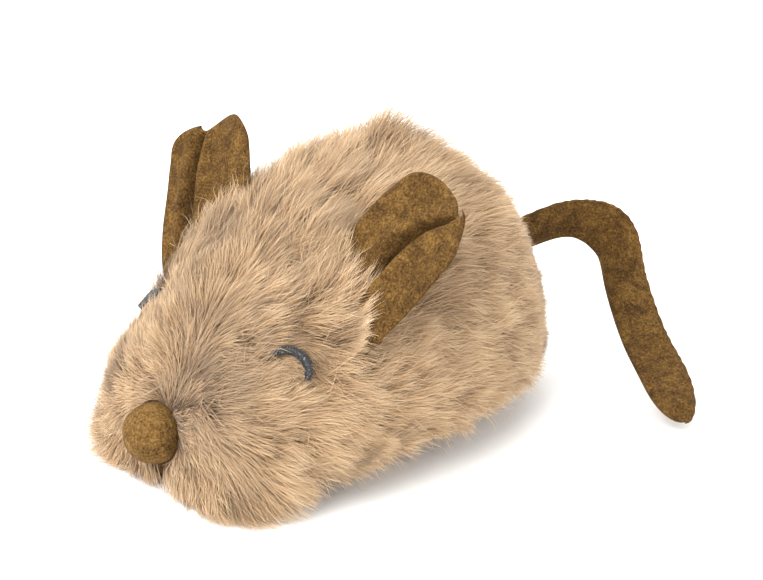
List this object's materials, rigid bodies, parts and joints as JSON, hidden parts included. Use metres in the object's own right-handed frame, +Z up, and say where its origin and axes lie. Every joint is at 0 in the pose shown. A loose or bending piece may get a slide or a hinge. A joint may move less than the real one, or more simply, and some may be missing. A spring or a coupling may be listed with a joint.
{
  "type": "clockwork mouse",
  "caption": "Plush wind-up mouse: long-pile skin over a geared spring drive, with folded ears, covered nose, stitched closed eyes, strip tail, side key and wheeled base plate.",
  "frame": {"origin": "middle of the flat pad under the base plate", "axes": "-Y forwards along the nose, +X the mouse's left, +Z up; the floor is at Z -1.9 mm"},
  "size_m": [0.0942, 0.1137, 0.0548],
  "materials": {
    "plush": "long soft pile",
    "belly_cloth": "short woven nap",
    "stuffing": "loose fibre",
    "microsuede": "short brushed nap",
    "thread": "embroidery thread, slight sheen",
    "black_plastic": "fine matt",
    "white_plastic": "moulded, satin",
    "rubber": "matt",
    "brass": "cut brass",
    "nickel_plate": "nickel plate",
    "steel": "turned steel"
  },
  "bodies": {
    "shell": {"fur_left": "plush", "fur_right": "plush", "belly_ring": "belly_cloth", "stuffing": "stuffing", "ear_left": "microsuede", "ear_right": "microsuede", "nose": "microsuede", "eye_left": "thread", "eye_right": "thread", "tail": "microsuede", "key_eyelet": "nickel_plate", "base_plate": "black_plastic", "case_left": "white_plastic", "case_right": "white_plastic", "case_screw_1": "steel", "case_screw_2": "steel", "case_screw_3": "steel", "case_screw_4": "steel", "base_screw_1": "steel", "base_screw_2": "steel", "base_screw_3": "steel", "base_screw_4": "steel", "mainspring": "steel", "idler_pin": "steel", "roller_axle": "steel"},
    "great": {"great_wheel": "brass"},
    "winder": {"winding_arbor": "steel", "ratchet_wheel": "steel", "winding_key": "nickel_plate"},
    "click": {"click": "steel"},
    "middle": {"middle_arbor": "steel", "middle_pinion": "brass", "middle_wheel": "brass"},
    "idler": {"idler_gear": "white_plastic"},
    "governor": {"governor_pinion": "steel", "flywheel": "brass"},
    "drive": {"drive_axle": "steel", "drive_pinion": "brass", "hub_left": "white_plastic", "hub_right": "white_plastic", "tyre_left": "rubber", "tyre_right": "rubber"},
    "rear_roller": {"roller": "white_plastic"}
  },
  "joints": [
    {"name": "great_wheel_turn", "type": "hinge", "parent": "shell", "child": "great", "pos_m": [0, 0.01098, 0.01361], "axis": [1, 0, 0], "continuous": true},
    {"name": "key_wind", "type": "hinge", "parent": "great", "child": "winder", "pos_m": [0, 0.01098, 0.01361], "axis": [1, 0, 0], "range_deg": [0, 2160]},
    {"name": "click_lift", "type": "hinge", "parent": "great", "child": "click", "pos_m": [0, 0.01788, 0.0124], "axis": [1, 0, 0], "range_deg": [-12, 0], "stiffness_Nm_per_rad": 0.0002, "springref_deg": 11.46},
    {"name": "middle_turn", "type": "hinge", "parent": "shell", "child": "middle", "pos_m": [0, -0.0005, 0.01301], "axis": [1, 0, 0], "continuous": true},
    {"name": "idler_turn", "type": "hinge", "parent": "shell", "child": "idler", "pos_m": [0, -0.01295, 0.01192], "axis": [1, 0, 0], "continuous": true},
    {"name": "governor_turn", "type": "hinge", "parent": "shell", "child": "governor", "pos_m": [0, -0.00375, 0.02194], "axis": [1, 0, 0], "continuous": true},
    {"name": "drive_turn", "type": "hinge", "parent": "shell", "child": "drive", "pos_m": [0, -0.0187, 0.0071], "axis": [1, 0, 0], "continuous": true},
    {"name": "roller_turn", "type": "hinge", "parent": "shell", "child": "rear_roller", "pos_m": [0, 0.0213, 0.0021], "axis": [1, 0, 0], "continuous": true}
  ],
  "couplings": [
    {"joint": "middle_turn", "follows": "great_wheel_turn", "ratio": -3.6},
    {"joint": "idler_turn", "follows": "great_wheel_turn", "ratio": 5.4},
    {"joint": "drive_turn", "follows": "great_wheel_turn", "ratio": -10.8},
    {"joint": "governor_turn", "follows": "great_wheel_turn", "ratio": 13.5}
  ]
}
